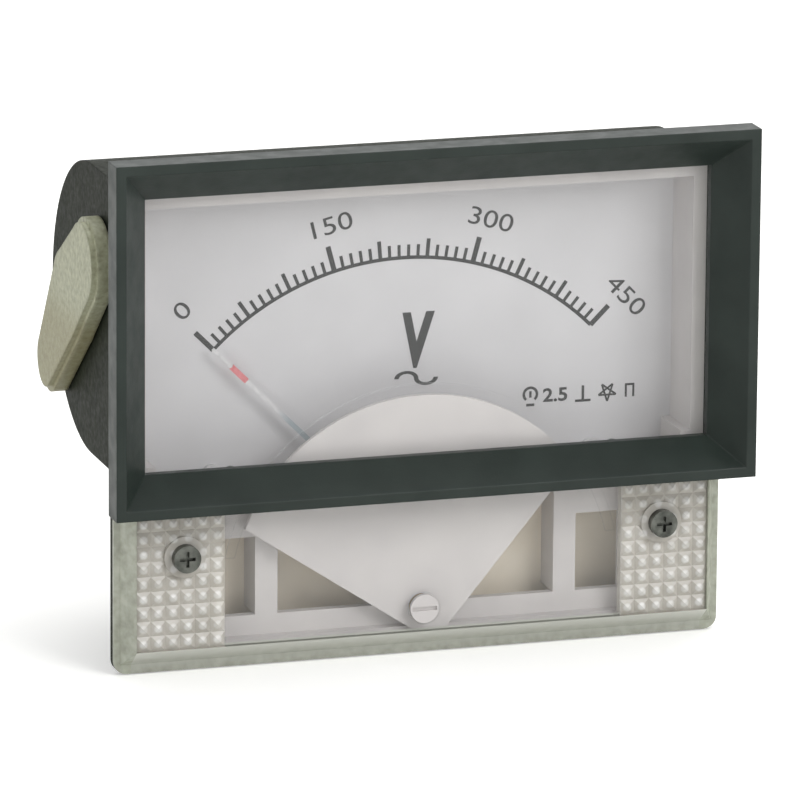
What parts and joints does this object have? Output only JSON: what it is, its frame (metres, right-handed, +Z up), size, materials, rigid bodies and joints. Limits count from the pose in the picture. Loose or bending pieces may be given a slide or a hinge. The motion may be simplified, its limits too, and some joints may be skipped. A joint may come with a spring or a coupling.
{
  "type": "analog panel meter",
  "caption": "Rectangular moving-coil panel voltmeter with black bezel, clear lower cover, dial behind a window, deep moulded case, cam clamps and terminal studs.",
  "frame": {"origin": "where the pointer's axis crosses the plane of the panel's front face, in the middle of the opening's width", "axes": "+X right across the face, +Y back through the panel, +Z up"},
  "size_m": [0.1, 0.067, 0.08],
  "materials": {
    "black_plastic": "satin",
    "clear_plastic": "gloss",
    "white_plastic": "satin",
    "dial_white": "matte",
    "ivory_plastic": "satin",
    "dark_steel": "satin",
    "bright_steel": "satin",
    "brass": "satin",
    "aluminium": "satin",
    "copper": "satin",
    "board": "satin"
  },
  "bodies": {
    "housing": {"case": "black_plastic", "bezel": "black_plastic", "clear_cover": "clear_plastic", "cover_screws": "dark_steel", "shield_mask": "white_plastic", "inner_frame": "white_plastic", "dial_plate": "dial_white", "dial_screws": "bright_steel", "base_plate": "ivory_plastic", "base_screws": "bright_steel", "terminal_studs": "brass", "terminal_nuts": "brass", "terminal_washers": "brass", "circuit_board": "board", "rectifier": "black_plastic", "multiplier_resistors": "ivory_plastic", "yoke": "bright_steel", "magnet_core": "dark_steel", "front_core_strap": "brass", "rear_core_strap": "brass", "movement_screws": "bright_steel", "front_bridge": "brass", "rear_bridge": "brass", "bridge_screws": "bright_steel", "front_jewel": "brass", "rear_jewel": "brass"},
    "moving_coil": {"coil_former": "aluminium", "coil": "copper", "front_spindle": "bright_steel", "rear_spindle": "bright_steel", "pointer": "aluminium", "balance_weights": "brass", "front_hairspring": "brass", "rear_hairspring": "brass"},
    "adjuster": {"zero_adjuster": "clear_plastic"},
    "lever": {"zero_lever": "brass"},
    "clamp_left": {"left_clamp": "ivory_plastic"},
    "clamp_right": {"right_clamp": "ivory_plastic"}
  },
  "joints": [
    {"name": "pointer_swing", "type": "hinge", "parent": "housing", "child": "moving_coil", "pos_m": [0, 0, 0], "axis": [0, 1, 0], "range_deg": [-3, 93], "stiffness_Nm_per_rad": 0.00002},
    {"name": "zero_adjust", "type": "hinge", "parent": "housing", "child": "adjuster", "pos_m": [0, -0.004, -0.0095], "axis": [0, 1, 0], "range_deg": [-45, 45]},
    {"name": "zero_shift", "type": "hinge", "parent": "housing", "child": "lever", "pos_m": [0, 0, 0], "axis": [0, 1, 0], "range_deg": [-3.4, 3.4]},
    {"name": "left_clamp_turn", "type": "hinge", "parent": "housing", "child": "clamp_left", "pos_m": [-0.0465, 0.014, 0.0456], "axis": [1, 0, 0], "range_deg": [-45, 45]},
    {"name": "right_clamp_turn", "type": "hinge", "parent": "housing", "child": "clamp_right", "pos_m": [0.0465, 0.014, 0.0456], "axis": [1, 0, 0], "range_deg": [-45, 45]}
  ],
  "couplings": [
    {"joint": "zero_shift", "follows": "zero_adjust", "ratio": 0.0735}
  ]
}
